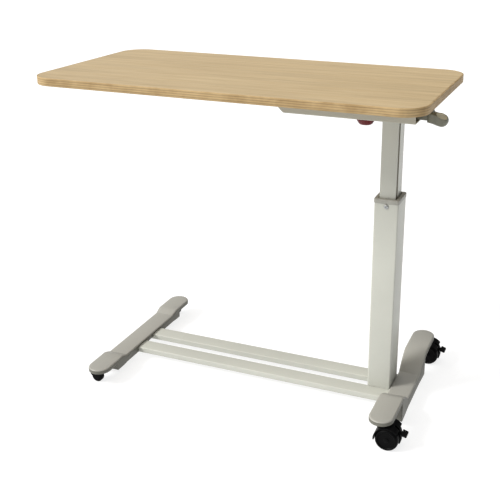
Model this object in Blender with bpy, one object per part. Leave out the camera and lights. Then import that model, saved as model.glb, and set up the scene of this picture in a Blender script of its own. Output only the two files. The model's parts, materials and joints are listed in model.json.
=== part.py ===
"""Overbed table: laminated top on a gas-spring column, H-shaped base, four swivel casters.

Metres, +Z up. The origin is on the floor, under the centre of the object's box.
+X runs along the top towards the column, +Y runs from the front edge to the back.
"""

import math

import bmesh
import bpy
from mathutils import Matrix, Vector

GAP = 0.0003  # left between pieces that touch

# Tabletop
TOP_WIDTH = 0.800
TOP_DEPTH = 0.400
TOP_THICKNESS = 0.016
TOP_HEIGHT = 0.675
TOP_CORNER = 0.050
TOP_X = -0.002
TOP_Y = 0.0055
BAND_THICKNESS = 0.002
TOP_UNDERSIDE = TOP_HEIGHT - TOP_THICKNESS

# Column: a fixed outer tube and a sliding inner tube
COLUMN_X = 0.2965
COLUMN_Y = TOP_Y
OUTER_WIDTH = 0.050
OUTER_DEPTH = 0.061
OUTER_TOP = 0.4435
INNER_WIDTH = 0.033
INNER_DEPTH = 0.048
INNER_BOTTOM = 0.193
TUBE_WALL = 0.0015
GROOVE_DEPTH = 0.003
COLLAR_TOP = 0.453
COLLAR_BOTTOM = 0.418
SCREW_HEIGHT = 0.438

# Bracket under the top
BRACKET_LEFT = 0.0585
BRACKET_RIGHT = 0.346
BRACKET_DEPTH = 0.060
BRACKET_BOTTOM = 0.607
BRACKET_CHAMFER = 0.019
BRACKET_WALL = 0.002
FLANGE_WIDTH = 0.016

# Base: two rails between two feet
RAIL_WIDTH = 0.0365
RAIL_HEIGHT = 0.0135
RAIL_TOP = 0.027
RAIL_SPACING = 0.068
RAIL_WALL = 0.0012
RAIL_Y = -0.0055
FOOT_Y = -0.0015
FOOT_LENGTH = 0.4085
FOOT_WIDTH = 0.047
PAD_WIDTH = 0.050
FOOT_TOP = 0.033
FOOT_RIM = 0.0095
SHEET = 0.002
END_WALL_INSET = 0.0012
LEFT_FOOT = {"x": -0.298, "pad_top": 0.040, "flat": 0.106, "rise_end": 0.126, "inner": 1}
LEFT_SKIRT = {"front": -0.148, "rear": 0.139, "bottom": 0.0155}
RIGHT_FOOT = {"x": 0.346, "pad_top": 0.0645, "flat": 0.050, "rise_end": 0.104, "inner": -1}
RIGHT_SKIRT = {"front": -0.108, "rear": 0.094, "bottom": 0.0115}

# Gas spring
CYLINDER_RADIUS = 0.012
CYLINDER_BORE = 0.0105
CYLINDER_TOP = 0.433
GUIDE_LENGTH = 0.015
ROD_RADIUS = 0.005
NECK_RADIUS = 0.004
ROD_BOTTOM = 0.255
ROD_TOP = 0.623
PISTON_LENGTH = 0.010
VALVE_PIN_RADIUS = 0.0015
VALVE_PIN_TOP = 0.6275

# Release lever and lock knob
LEVER_X = 0.3325
LEVER_Z = 0.633
LEVER_PIN_RADIUS = 0.003
LEVER_THICKNESS = 0.012
GRIP_TIP = 0.4023
GRIP_WIDTH = 0.026
ARM_TIP = 0.3875
KNOB_X = 0.240
KNOB_RADIUS = 0.019
KNOB_BOTTOM = 0.5925
STUD_RADIUS = 0.003

# Casters
CASTER_OFFSET = FOOT_LENGTH / 2 - PAD_WIDTH / 2
TWIN_RADIUS = 0.0235
TWIN_TRAIL = 0.016
TWIN_INNER_FACE = 0.005
TWIN_WHEEL_WIDTH = 0.017
HOOD_RADIUS = 0.0270
PEDAL_PIVOT = (0.0170, 0.0350)
SMALL_RADIUS = 0.0125
SMALL_TRAIL = 0.007
SMALL_WIDTH = 0.012
AXLE_RADIUS = 0.003

ROUND = 24  # sides of small round pieces
WHEEL_SIDES = 32


def clear_scene():
    for obj in list(bpy.data.objects):
        bpy.data.objects.remove(obj, do_unlink=True)


def make_material(name, colour, roughness, metallic=0.0):
    material = bpy.data.materials.new(name)
    material.use_nodes = True
    shader = material.node_tree.nodes["Principled BSDF"]
    shader.inputs["Base Color"].default_value = (*colour, 1.0)
    shader.inputs["Roughness"].default_value = roughness
    shader.inputs["Metallic"].default_value = metallic
    return material


def make_materials():
    return {
        "laminate": make_material("oak_laminate", (0.62, 0.48, 0.29), 0.45),
        "band": make_material("edge_band_plastic", (0.46, 0.33, 0.18), 0.45),
        "frame": make_material("light_grey_paint", (0.66, 0.66, 0.62), 0.40),
        "foot": make_material("mid_grey_paint", (0.44, 0.43, 0.40), 0.45),
        "collar": make_material("grey_plastic", (0.32, 0.32, 0.29), 0.50),
        "steel": make_material("zinc_steel", (0.60, 0.61, 0.62), 0.30, 1.0),
        "chrome": make_material("chrome_steel", (0.75, 0.76, 0.77), 0.15, 1.0),
        "cylinder": make_material("black_paint", (0.03, 0.03, 0.03), 0.35),
        "knob": make_material("red_plastic", (0.38, 0.02, 0.03), 0.35),
        "lever": make_material("dark_grey_plastic", (0.24, 0.24, 0.21), 0.50),
        "caster": make_material("black_plastic", (0.012, 0.012, 0.012), 0.40),
    }


def add_pivot(name, place, parent=None):
    """An empty on a joint's axis."""
    empty = bpy.data.objects.new(name, None)
    bpy.context.scene.collection.objects.link(empty)
    empty.empty_display_size = 0.02
    empty["place"] = tuple(place)
    base = Vector(parent["place"]) if parent else Vector((0.0, 0.0, 0.0))
    empty.location = Vector(place) - base
    empty.parent = parent
    return empty


def add_object(name, bm, material, parent=None):
    """Makes an object from a mesh in world coordinates, with its origin on its parent pivot."""
    if parent:
        bmesh.ops.translate(bm, verts=bm.verts, vec=-Vector(parent["place"]))
    bmesh.ops.recalc_face_normals(bm, faces=bm.faces)
    mesh = bpy.data.meshes.new(name)
    bm.to_mesh(mesh)
    bm.free()
    mesh.shade_smooth()
    mesh.set_sharp_from_angle(angle=math.radians(35))
    obj = bpy.data.objects.new(name, mesh)
    bpy.context.scene.collection.objects.link(obj)
    obj.parent = parent
    if material:
        mesh.materials.append(material)
    return obj


def add_tool(name, bm):
    """A hidden shape that a Boolean adds or takes away."""
    tool = add_object(name, bm, None)
    tool.hide_render = True
    tool.display_type = "WIRE"
    return tool


def add_boolean(obj, bm, operation):
    """Cuts a shape from an object, or joins it on."""
    label = f"{operation.lower()}_{len(obj.modifiers) + 1}"
    modifier = obj.modifiers.new(label, "BOOLEAN")
    modifier.operation = operation
    modifier.solver = "EXACT"
    modifier.object = add_tool(f"{obj.name}_{label}", bm)


def cut(obj, *shapes):
    for bm in shapes:
        add_boolean(obj, bm, "DIFFERENCE")


def join(obj, *shapes):
    for bm in shapes:
        add_boolean(obj, bm, "UNION")


def loft(sections):
    """A closed solid through sections with equal numbers of points."""
    bm = bmesh.new()
    rings = [[bm.verts.new(point) for point in section] for section in sections]
    count = len(rings[0])
    for first, second in zip(rings, rings[1:]):
        for i in range(count):
            j = (i + 1) % count
            bm.faces.new((first[i], first[j], second[j], second[i]))
    bm.faces.new(rings[0])
    bm.faces.new(rings[-1])
    return bm


def place_point(axis, u, v, w):
    """The point at u, v across an axis and w along it."""
    return {"x": (w, u, v), "y": (u, w, v), "z": (u, v, w)}[axis]


def prism(outline, axis, low, high):
    """An outline across the axis, extruded from low to high along it."""
    return loft([[place_point(axis, u, v, w) for u, v in outline] for w in (low, high)])


def box(low, high):
    corners = [(low[0], low[1]), (high[0], low[1]), (high[0], high[1]), (low[0], high[1])]
    return prism(corners, "z", low[2], high[2])


def tube(outer, inner, axis, low, high):
    """A hollow extrusion whose outer and inner outlines have equal numbers of points."""
    bm = bmesh.new()
    loops = []
    for outline, w in ((outer, low), (outer, high), (inner, high), (inner, low)):
        loops.append([bm.verts.new(place_point(axis, u, v, w)) for u, v in outline])
    count = len(outer)
    for first, second in zip(loops, loops[1:] + loops[:1]):
        for i in range(count):
            j = (i + 1) % count
            bm.faces.new((first[i], first[j], second[j], second[i]))
    return bm


def arc(centre, radius, start, end, steps):
    """Points from start to end degrees, both included."""
    points = []
    for i in range(steps + 1):
        angle = math.radians(start + (end - start) * i / steps)
        points.append((centre[0] + radius * math.cos(angle), centre[1] + radius * math.sin(angle)))
    return points


def circle(centre, radius, sides=ROUND):
    return arc(centre, radius, 0, 360 - 360 / sides, sides - 1)


def hexagon(centre, across_flats, sides=12):
    """A hexagon with extra points on its flats, to match a circle of as many sides."""
    points = []
    for i in range(sides):
        angle = 2 * math.pi * i / sides
        from_flat = (angle % (math.pi / 3)) - math.pi / 6
        radius = across_flats / 2 / math.cos(from_flat)
        points.append((centre[0] + radius * math.cos(angle), centre[1] + radius * math.sin(angle)))
    return points


def rounded_rectangle(centre, width, depth, radius, steps=3):
    points = []
    for i, (sx, sy) in enumerate(((1, 1), (-1, 1), (-1, -1), (1, -1))):
        corner = (centre[0] + sx * (width / 2 - radius), centre[1] + sy * (depth / 2 - radius))
        points += arc(corner, radius, 90 * i, 90 * i + 90, steps)
    return points


def cylinder(axis, centre, radius, low, high, sides=ROUND):
    return prism(circle(centre, radius, sides), axis, low, high)


def turn(profile, centre, axis="z", sides=ROUND, flip=1):
    """A solid turned round an axis. The profile is (radius, height) from the axis back to the axis."""
    bm = bmesh.new()
    rings = []
    for radius, height in profile:
        if radius == 0:
            rings.append([bm.verts.new((0, 0, height * flip))])
        else:
            ring = [(u, v, height * flip) for u, v in circle((0, 0), radius, sides)]
            rings.append([bm.verts.new(point) for point in ring])
    for first, second in zip(rings, rings[1:]):
        for i in range(sides):
            j = (i + 1) % sides
            low_corners = [first[i % len(first)], first[j % len(first)]]
            high_corners = [second[j % len(second)], second[i % len(second)]]
            bm.faces.new(list(dict.fromkeys(low_corners + high_corners)))
    if axis == "y":
        bmesh.ops.rotate(bm, verts=bm.verts, matrix=Matrix.Rotation(math.radians(-90), 3, "X"))
    bmesh.ops.translate(bm, verts=bm.verts, vec=centre)
    return bm


# Base


def rise_share(foot, station):
    """The share of the rise reached: steepest where it leaves the flat, easing off towards the pad."""
    value = (abs(station) - foot["flat"]) / (foot["rise_end"] - foot["flat"])
    value = min(max(value, 0.0), 1.0)
    return value * (1.35 - 0.35 * value)


def foot_top(foot, station):
    return FOOT_TOP + (foot["pad_top"] - FOOT_TOP) * rise_share(foot, station)


def foot_sections(foot, skirt, inset, bottom):
    """Sections along one foot. The inset shape with a low bottom is the hollow underneath."""
    half_length = FOOT_LENGTH / 2
    radius = PAD_WIDTH / 2
    stations = {0.0, foot["flat"]}
    for i in range(7):
        stations.add(foot["flat"] + (foot["rise_end"] - foot["flat"]) * i / 6)
    for u, _ in arc((half_length - radius, 0), radius - inset, 8, 90, 7):
        stations.add(u)
    stations |= {-station for station in stations}
    stations |= {skirt["front"], skirt["front"] - 0.0008, skirt["rear"], skirt["rear"] + 0.0008}
    sections = []
    for station in sorted(stations):
        top = foot_top(foot, station)
        half = (FOOT_WIDTH + (PAD_WIDTH - FOOT_WIDTH) * rise_share(foot, station)) / 2 - inset
        past_centre = abs(station) - (half_length - radius)
        if past_centre > 0:
            half = math.sqrt(max((radius - inset) ** 2 - past_centre**2, 0))
        low = bottom
        if bottom is None:
            low = skirt["bottom"] if skirt["front"] <= station <= skirt["rear"] else top - FOOT_RIM
        y = FOOT_Y + station
        x = foot["x"]
        high = top - inset
        sections.append([(x - half, y, low), (x + half, y, low), (x + half, y, high), (x - half, y, high)])
    return sections


def foot_end_wall(foot, skirt, station):
    """The wall that closes the channel across one end of its skirt."""
    half_width = PAD_WIDTH / 2 - SHEET / 2
    half_sheet = SHEET / 2 - 0.0001
    low = (foot["x"] - half_width, FOOT_Y + station - half_sheet, skirt["bottom"] + GAP)
    high = (foot["x"] + half_width, FOOT_Y + station + half_sheet, foot_top(foot, station) - SHEET / 2)
    return box(low, high)


def make_foot(name, foot, skirt, material):
    """A pressed channel: low between the rails, raised at both ends over the casters."""
    obj = add_object(name, loft(foot_sections(foot, skirt, 0, None)), material)
    cut(obj, loft(foot_sections(foot, skirt, SHEET, 0.0)))
    for station in (skirt["front"] + END_WALL_INSET, skirt["rear"] - END_WALL_INSET):
        join(obj, foot_end_wall(foot, skirt, station))
    wall = foot["x"] + foot["inner"] * FOOT_WIDTH / 2
    low_x, high_x = wall - 0.004, wall + 0.004
    notch = RAIL_SPACING / 2 + RAIL_WIDTH / 2 + 0.001
    cut(obj, box((low_x, RAIL_Y - notch, 0.003), (high_x, RAIL_Y + notch, 0.021)))
    for side in (-1, 1):
        middle = RAIL_Y + side * RAIL_SPACING / 2
        half = RAIL_WIDTH / 2 + 0.0005
        cut(obj, box((low_x, middle - half, 0.017), (high_x, middle + half, RAIL_TOP + 0.0005)))


def make_rail(name, side, material):
    middle = (RAIL_Y + side * RAIL_SPACING / 2, RAIL_TOP - RAIL_HEIGHT / 2)
    inside = FOOT_WIDTH / 2 - SHEET - GAP
    outer = rounded_rectangle(middle, RAIL_WIDTH, RAIL_HEIGHT, 0.0025, 2)
    inner = rounded_rectangle(middle, RAIL_WIDTH - 2 * RAIL_WALL, RAIL_HEIGHT - 2 * RAIL_WALL, 0.0013, 2)
    low, high = LEFT_FOOT["x"] - inside, RIGHT_FOOT["x"] + inside
    add_object(name, tube(outer, inner, "x", low, high), material)


def make_outer_column(materials):
    centre = (COLUMN_X, COLUMN_Y)
    outer = rounded_rectangle(centre, OUTER_WIDTH, OUTER_DEPTH, 0.003)
    inner = rounded_rectangle(centre, OUTER_WIDTH - 2 * TUBE_WALL, OUTER_DEPTH - 2 * TUBE_WALL, 0.0015)
    obj = add_object("outer_column", tube(outer, inner, "z", RAIL_TOP + GAP, OUTER_TOP), materials["frame"])
    front = COLUMN_Y - OUTER_DEPTH / 2
    cut(obj, cylinder("y", (COLUMN_X, SCREW_HEIGHT), 0.0026, front - 0.002, front + 0.003, 16))


def make_base_plate(materials):
    """The plate at the foot of the outer tube, which holds the gas spring's lower stud."""
    slack = TUBE_WALL + GAP
    centre = (COLUMN_X, COLUMN_Y)
    outline = rounded_rectangle(centre, OUTER_WIDTH - 2 * slack, OUTER_DEPTH - 2 * slack, 0.0015)
    bm = prism(outline, "z", 0.0276, 0.0356)
    plate = add_object("column_base_plate", bm, materials["steel"])
    cut(plate, cylinder("z", (COLUMN_X, COLUMN_Y), NECK_RADIUS + GAP, 0.020, 0.040))


def make_collar(materials):
    """The plastic bush that guides the inner tube, with a lip on top of the outer tube."""
    centre = (COLUMN_X, COLUMN_Y)
    opening = rounded_rectangle(centre, INNER_WIDTH + 0.004, INNER_DEPTH + 0.002, 0.0015)
    lip = rounded_rectangle(centre, OUTER_WIDTH + 0.002, OUTER_DEPTH + 0.002, 0.004)
    slack = TUBE_WALL + GAP
    sleeve = rounded_rectangle(centre, OUTER_WIDTH - 2 * slack, OUTER_DEPTH - 2 * slack, 0.0015)
    bm = tube(lip, opening, "z", OUTER_TOP + GAP, COLLAR_TOP)
    obj = add_object("column_collar", bm, materials["collar"])
    join(obj, tube(sleeve, opening, "z", COLLAR_BOTTOM, OUTER_TOP + 0.001))
    front = COLUMN_Y - OUTER_DEPTH / 2
    cut(obj, cylinder("y", (COLUMN_X, SCREW_HEIGHT), 0.0026, front, front + 0.010, 16))


def make_collar_screw(materials):
    """A button-head screw through the front of the outer tube into the bush."""
    front = COLUMN_Y - OUTER_DEPTH / 2
    profile = [(0, 0.0028), (0.0022, 0.0026), (0.0040, 0.0017), (0.0050, 0.0)]
    profile += [(0.0022, 0.0), (0.0022, -0.0050), (0, -0.0050)]
    bm = turn(profile, (COLUMN_X, front - GAP, SCREW_HEIGHT), "y", 16, flip=-1)
    add_object("collar_screw", bm, materials["steel"])


def make_nut(name, centre, low, high, bore, across_flats, material, parent=None):
    bm = tube(hexagon(centre, across_flats), circle(centre, bore, 12), "z", low, high)
    add_object(name, bm, material, parent)


def make_gas_cylinder(materials):
    guide_bottom = CYLINDER_TOP - GUIDE_LENGTH
    guide_bore = ROD_RADIUS + GAP
    profile = [
        (0, 0.0280),
        (NECK_RADIUS, 0.0280),
        (NECK_RADIUS, 0.0412),
        (CYLINDER_RADIUS, 0.0412),
        (CYLINDER_RADIUS, CYLINDER_TOP - 0.001),
        (CYLINDER_RADIUS - 0.001, CYLINDER_TOP),
        (guide_bore, CYLINDER_TOP),
        (guide_bore, guide_bottom),
        (CYLINDER_BORE, guide_bottom),
        (CYLINDER_BORE, 0.0450),
        (0, 0.0450),
    ]
    add_object("gas_cylinder", turn(profile, (COLUMN_X, COLUMN_Y, 0)), materials["cylinder"])


def make_base(materials):
    make_rail("front_rail", -1, materials["frame"])
    make_rail("rear_rail", 1, materials["frame"])
    make_foot("left_foot", LEFT_FOOT, LEFT_SKIRT, materials["foot"])
    make_foot("right_foot", RIGHT_FOOT, RIGHT_SKIRT, materials["foot"])
    make_outer_column(materials)
    make_base_plate(materials)
    make_collar(materials)
    make_collar_screw(materials)
    make_gas_cylinder(materials)
    column = (COLUMN_X, COLUMN_Y)
    make_nut("cylinder_nut", column, 0.0359, 0.0409, NECK_RADIUS + GAP, 0.013, materials["steel"])


# Sliding column and top


def grooved_outline(side, depth):
    """Half of the inner tube's outline, from front to back, with its groove near the front."""
    x = COLUMN_X + side * (INNER_WIDTH / 2 - depth)
    front, back = COLUMN_Y - INNER_DEPTH / 2 + depth, COLUMN_Y + INNER_DEPTH / 2 - depth
    groove_x = x - side * GROOVE_DEPTH
    start, end = COLUMN_Y - 0.0205 - depth, COLUMN_Y - 0.0085 + depth
    points = [(x - side * 0.0005, front), (x, front + 0.0005), (x, start), (groove_x, start)]
    points += [(groove_x, end), (x, end), (x, back - 0.0015), (x - side * 0.0015, back)]
    return points


def make_inner_column(materials, lift):
    outlines = []
    for depth in (0, TUBE_WALL):
        outlines.append(grooved_outline(1, depth) + grooved_outline(-1, depth)[::-1])
    bm = tube(outlines[0], outlines[1], "z", INNER_BOTTOM, BRACKET_BOTTOM - GAP)
    add_object("inner_column", bm, materials["frame"], lift)


def make_slide_shoe(materials, lift):
    """The plastic shoe round the lower end of the inner tube."""
    centre = (COLUMN_X, COLUMN_Y)
    slack = TUBE_WALL + 0.0005
    outer = rounded_rectangle(centre, OUTER_WIDTH - 2 * slack, OUTER_DEPTH - 2 * slack, 0.002)
    inner = rounded_rectangle(centre, INNER_WIDTH + 2 * GAP, INNER_DEPTH + 2 * GAP, 0.0005)
    bm = tube(outer, inner, "z", INNER_BOTTOM, INNER_BOTTOM + 0.030)
    add_object("slide_shoe", bm, materials["collar"], lift)


def make_bracket(materials, lift):
    """The folded steel channel under the top: floor, two walls and two screw flanges."""
    top = TOP_UNDERSIDE - GAP
    half = BRACKET_DEPTH / 2
    wall = BRACKET_WALL
    outline = [
        (half, BRACKET_BOTTOM),
        (half, top - wall),
        (half + FLANGE_WIDTH, top - wall),
        (half + FLANGE_WIDTH, top),
        (half - wall, top),
        (half - wall, BRACKET_BOTTOM + wall),
    ]
    section = [(COLUMN_Y + v, z) for v, z in outline]
    section += [(COLUMN_Y - v, z) for v, z in outline[::-1]]
    bm = prism(section, "x", BRACKET_LEFT, BRACKET_RIGHT)
    obj = add_object("bracket_channel", bm, materials["frame"], lift)
    corner = [
        (BRACKET_LEFT - 0.01, BRACKET_BOTTOM - 0.01),
        (BRACKET_LEFT + BRACKET_CHAMFER + 0.01, BRACKET_BOTTOM - 0.01),
        (BRACKET_LEFT - 0.01, BRACKET_BOTTOM + BRACKET_CHAMFER + 0.01),
    ]
    cut(obj, prism(corner, "y", COLUMN_Y - 0.1, COLUMN_Y + 0.1))
    low, high = BRACKET_BOTTOM - 0.01, BRACKET_BOTTOM + 0.01
    cut(obj, cylinder("z", (COLUMN_X, COLUMN_Y), 0.009, low, high))
    cut(obj, cylinder("z", (KNOB_X, COLUMN_Y), STUD_RADIUS + 0.0004, low, high, 16))
    cut(obj, cylinder("y", (LEVER_X, LEVER_Z), LEVER_PIN_RADIUS + GAP, COLUMN_Y - 0.1, COLUMN_Y + 0.1))
    for x, y in panel_screw_places():
        cut(obj, cylinder("z", (x, y), 0.0026, TOP_UNDERSIDE - 0.01, TOP_UNDERSIDE + 0.01, 12))


def panel_screw_places():
    offset = BRACKET_DEPTH / 2 + FLANGE_WIDTH / 2
    return [(x, COLUMN_Y + side * offset) for x in (0.0875, 0.3225) for side in (-1, 1)]


def make_head_plate(materials, lift):
    """The plate inside the bracket that the gas spring's rod is nutted to."""
    outline = rounded_rectangle((COLUMN_X, COLUMN_Y), 0.056, 0.050, 0.004, 2)
    low = BRACKET_BOTTOM + BRACKET_WALL + GAP
    plate = add_object("head_plate", prism(outline, "z", low, low + 0.004), materials["steel"], lift)
    cut(plate, cylinder("z", (COLUMN_X, COLUMN_Y), NECK_RADIUS + GAP, low - 0.01, low + 0.01))


def make_tabletop(materials, lift):
    centre = (TOP_X, TOP_Y)
    outer = rounded_rectangle(centre, TOP_WIDTH, TOP_DEPTH, TOP_CORNER, 10)
    edge = 2 * BAND_THICKNESS
    inner = rounded_rectangle(centre, TOP_WIDTH - edge, TOP_DEPTH - edge, TOP_CORNER - BAND_THICKNESS, 10)
    add_object("edge_band", tube(outer, inner, "z", TOP_UNDERSIDE, TOP_HEIGHT), materials["band"], lift)
    edge += 2 * GAP
    board = rounded_rectangle(centre, TOP_WIDTH - edge, TOP_DEPTH - edge, TOP_CORNER - edge / 2, 10)
    bm = prism(board, "z", TOP_UNDERSIDE, TOP_HEIGHT)
    panel = add_object("tabletop_panel", bm, materials["laminate"], lift)
    for x, y in panel_screw_places():
        cut(panel, cylinder("z", (x, y), 0.0025, TOP_UNDERSIDE - 0.01, TOP_UNDERSIDE + 0.011, 12))


def make_panel_screws(materials, lift):
    flange = TOP_UNDERSIDE - GAP - BRACKET_WALL
    profile = [(0, -0.0022), (0.0030, -0.0018), (0.0042, 0), (0.0021, 0), (0.0021, 0.0120), (0, 0.0120)]
    for number, (x, y) in enumerate(panel_screw_places(), start=1):
        bm = turn(profile, (x, y, flange - GAP), "z", 12)
        add_object(f"panel_screw_{number}", bm, materials["steel"], lift)


def make_rod(materials, lift):
    """The rod, with a bore in its neck for the valve pin, and the piston on its lower end."""
    shoulder = BRACKET_BOTTOM + BRACKET_WALL
    pin_bore = VALVE_PIN_RADIUS + GAP
    piston_top = ROD_BOTTOM + PISTON_LENGTH
    profile = [
        (0, piston_top - 0.005),
        (0.003, piston_top - 0.005),
        (0.003, piston_top),
        (ROD_RADIUS, piston_top),
        (ROD_RADIUS, shoulder),
        (NECK_RADIUS, shoulder),
        (NECK_RADIUS, ROD_TOP),
        (pin_bore, ROD_TOP),
        (pin_bore, 0.6050),
        (0, 0.6050),
    ]
    centre = (COLUMN_X, COLUMN_Y, 0)
    add_object("gas_rod", turn(profile, centre), materials["chrome"], lift)
    radius = CYLINDER_BORE - 0.0005
    profile = [
        (0, ROD_BOTTOM),
        (radius, ROD_BOTTOM),
        (radius, piston_top - GAP),
        (0.003 + GAP, piston_top - GAP),
        (0.003 + GAP, piston_top - 0.005 - GAP),
        (0, piston_top - 0.005 - GAP),
    ]
    add_object("gas_piston", turn(profile, centre), materials["collar"], lift)
    nut_bottom = shoulder + 2 * GAP + 0.004
    bore = NECK_RADIUS + GAP
    make_nut("rod_nut", centre[:2], nut_bottom, nut_bottom + 0.006, bore, 0.013, materials["steel"], lift)


def make_lever_pin(materials, lift):
    half = BRACKET_DEPTH / 2 + 0.001
    bm = cylinder("y", (LEVER_X, LEVER_Z), LEVER_PIN_RADIUS, COLUMN_Y - half, COLUMN_Y + half)
    add_object("lever_pin", bm, materials["steel"], lift)


def make_lift(materials):
    lift = add_pivot("lift_pivot", (COLUMN_X, COLUMN_Y, INNER_BOTTOM))
    make_inner_column(materials, lift)
    make_slide_shoe(materials, lift)
    make_bracket(materials, lift)
    make_head_plate(materials, lift)
    make_tabletop(materials, lift)
    make_panel_screws(materials, lift)
    make_rod(materials, lift)
    make_lever_pin(materials, lift)
    low = BRACKET_BOTTOM + BRACKET_WALL + GAP
    knob = (KNOB_X, COLUMN_Y)
    make_nut("knob_nut", knob, low, low + 0.005, STUD_RADIUS + GAP, 0.010, materials["steel"], lift)
    return lift


# Controls


def make_lever(materials, lift):
    """The lever pulled up to change the height. Its inner end presses the valve pin down."""
    pivot = add_pivot("lever_pivot", (LEVER_X, COLUMN_Y, LEVER_Z), lift)
    half = LEVER_THICKNESS / 2
    outline = [
        (COLUMN_X - 0.006, VALVE_PIN_TOP + GAP),
        (COLUMN_X + 0.006, VALVE_PIN_TOP + GAP),
        (0.3265, 0.6230),
        (0.3385, 0.6150),
        (0.3465, 0.6120),
        (ARM_TIP, 0.6105),
        (ARM_TIP, 0.6180),
        (0.3765, 0.6220),
        (0.3735, 0.6320),
        (0.3425, 0.6410),
    ]
    outline += arc((LEVER_X, LEVER_Z), 0.009, 60, 120, 3)
    outline += [(COLUMN_X + 0.004, 0.6370), (COLUMN_X - 0.006, 0.6340)]
    bm = prism(outline, "y", COLUMN_Y - half, COLUMN_Y + half)
    arm = add_object("lever_arm", bm, materials["lever"], pivot)
    bore = LEVER_PIN_RADIUS + GAP
    cut(arm, cylinder("y", (LEVER_X, LEVER_Z), bore, COLUMN_Y - 0.02, COLUMN_Y + 0.02))
    make_lever_grip(materials, pivot, half)


def make_lever_grip(materials, pivot, half):
    """The finger grip at the lever's end: a thick paddle, slotted over the arm and dished on top."""
    outline = [(-0.0400, 0.6300), (-0.0400, 0.6085), (-0.0290, 0.6062), (-0.0190, 0.6030)]
    outline += arc((-0.0115, 0.6130), 0.0112, -100, 60, 8)
    outline += [(-0.0125, 0.6262), (-0.0230, 0.6268), (-0.0310, 0.6292)]
    middle = (-0.0190, 0.6160)
    sections = []
    for i in range(9):
        along = -1 + i / 4
        size = 1 - 0.30 * abs(along) ** 4
        section = []
        for x, z in outline:
            shrunk_x, shrunk_z = middle[0] + (x - middle[0]) * size, middle[1] + (z - middle[1]) * size
            section.append((GRIP_TIP + shrunk_x, COLUMN_Y + along * GRIP_WIDTH / 2, shrunk_z))
        sections.append(section)
    grip = add_object("lever_grip", loft(sections), materials["lever"], pivot)
    slot_half = half + GAP
    low = (GRIP_TIP - 0.0450, COLUMN_Y - slot_half, 0.6090)
    middle_x = GRIP_TIP - 0.0250
    cut(grip, box(low, (middle_x, COLUMN_Y + slot_half, 0.6400)))
    cut(grip, box((middle_x - 0.001, low[1], low[2]), (ARM_TIP + GAP, COLUMN_Y + slot_half, 0.6225)))
    dish = [(0, -0.0045), (0.0040, -0.0036), (0.0075, -0.0012), (0.0102, 0.0060), (0, 0.0060)]
    cut(grip, turn(dish, (GRIP_TIP - 0.0135, COLUMN_Y, 0.6268), "z", 20))


def make_valve_pin(materials, lift):
    pivot = add_pivot("valve_pin_pivot", (COLUMN_X, COLUMN_Y, VALVE_PIN_TOP), lift)
    bm = cylinder("z", (COLUMN_X, COLUMN_Y), VALVE_PIN_RADIUS, 0.6115, VALVE_PIN_TOP, 12)
    add_object("valve_pin", bm, materials["steel"], pivot)


def make_knob(materials, lift):
    """The round lock knob that hangs under the bracket on a threaded stud."""
    pivot = add_pivot("knob_pivot", (KNOB_X, COLUMN_Y, KNOB_BOTTOM), lift)
    top = BRACKET_BOTTOM - 0.0015
    bore = STUD_RADIUS + GAP
    profile = [
        (0, KNOB_BOTTOM),
        (0.0105, KNOB_BOTTOM),
        (0.0135, KNOB_BOTTOM + 0.0015),
        (0.0165, KNOB_BOTTOM + 0.0055),
        (KNOB_RADIUS - 0.0005, KNOB_BOTTOM + 0.0115),
        (KNOB_RADIUS, top - 0.001),
        (KNOB_RADIUS - 0.001, top),
        (bore, top),
        (bore, top - 0.009),
        (0, top - 0.009),
    ]
    centre = (KNOB_X, COLUMN_Y, 0)
    add_object("lock_knob", turn(profile, centre, "z", WHEEL_SIDES), materials["knob"], pivot)
    low = top - 0.009 + GAP
    bm = cylinder("z", (KNOB_X, COLUMN_Y), STUD_RADIUS, low, BRACKET_BOTTOM + 0.010, 16)
    add_object("knob_stud", bm, materials["steel"], pivot)


# Casters


def make_stem(name, centre, levels, pin_radius, foot, materials):
    """The fixed stem: a thread in the foot's nut, a flange, and the pin that the caster turns on."""
    pin_bottom, flange_low, flange_high = levels
    sheet = foot["pad_top"] - SHEET
    profile = [
        (0, pin_bottom),
        (pin_radius, pin_bottom),
        (pin_radius, flange_low),
        (0.0085, flange_low),
        (0.0085, flange_high),
        (NECK_RADIUS, flange_high),
        (NECK_RADIUS, sheet - 0.0005),
        (0, sheet - 0.0005),
    ]
    add_object(f"stem_{name}", turn(profile, (*centre, 0), "z", 16), materials["steel"])
    bore = NECK_RADIUS + 0.0005
    make_nut(f"stem_nut_{name}", centre, flange_high + GAP, sheet - GAP, bore, 0.013, materials["steel"])


def make_twin_housing(name, centre, wheel_x, materials, pivot):
    """The web between the wheels, the hood over them and the boss for the stem."""
    y = centre[1]
    hub = (wheel_x, TWIN_RADIUS)
    web = arc(hub, 0.0262, -28, 195, 18) + arc(hub, 0.008, 195, 332, 6)
    obj = add_object(f"housing_{name}", prism(web, "y", y - 0.0045, y + 0.0045), materials["caster"], pivot)
    hood = arc(hub, HOOD_RADIUS, 40, 186, 16) + arc(hub, HOOD_RADIUS - 0.0022, 186, 40, 16)
    join(obj, prism(hood, "y", y - 0.0215, y + 0.0215))
    join(obj, cylinder("z", centre, 0.0085, 0.0400, 0.0510, 20))
    for low, high in ((0.0047, 0.0300), (-0.0300, -0.0047)):
        cut(obj, cylinder("y", hub, TWIN_RADIUS + 0.0008, y + low, y + high, WHEEL_SIDES))
    cut(obj, cylinder("z", centre, 0.0035 + GAP, 0.0430, 0.0560, 16))
    cut(obj, cylinder("y", hub, AXLE_RADIUS + GAP, y - 0.01, y + 0.01))
    cut(obj, box((wheel_x + 0.0115, y - 0.0026, 0.0290), (wheel_x + 0.0350, y + 0.0026, 0.0600)))
    cut(obj, cylinder("y", pedal_pivot(wheel_x), 0.0014, y - 0.01, y + 0.01, 12))


def pedal_pivot(wheel_x):
    return wheel_x + PEDAL_PIVOT[0], PEDAL_PIVOT[1]


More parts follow.
